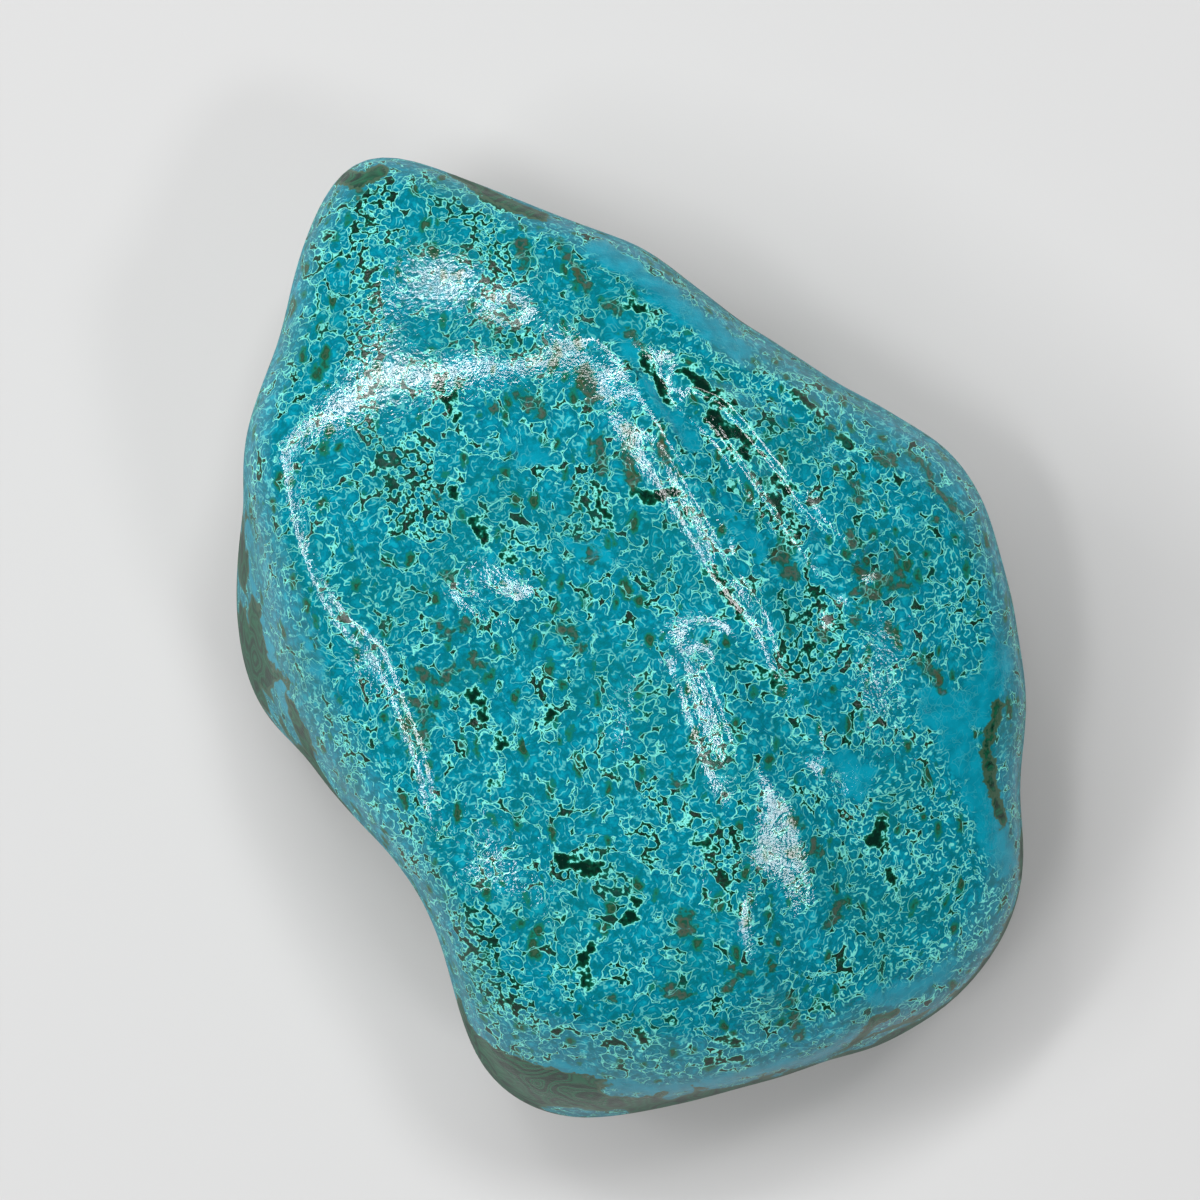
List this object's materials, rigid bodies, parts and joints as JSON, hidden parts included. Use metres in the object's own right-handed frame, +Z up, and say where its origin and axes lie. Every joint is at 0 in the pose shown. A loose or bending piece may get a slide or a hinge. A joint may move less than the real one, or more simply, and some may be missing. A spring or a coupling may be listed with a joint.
{
  "type": "polished chrysocolla and malachite freeform stone",
  "caption": "Hand-sized polished freeform of blue-green chrysocolla with malachite: a broad domed face with low ridges, a bevelled flank, and a flat on its back to lie on.",
  "frame": {"origin": "on the surface the stone lies on, under the middle of its bounding box", "axes": "+Z up out of the broad polished face, +Y along the stone's long way towards its pointed tip"},
  "size_m": [0.0998, 0.1196, 0.046],
  "materials": {
    "polished_chrysocolla": "tumble polished, with fine relief over the cells"
  },
  "bodies": {
    "root": {"chrysocolla_stone": "polished_chrysocolla"}
  },
  "joints": []
}
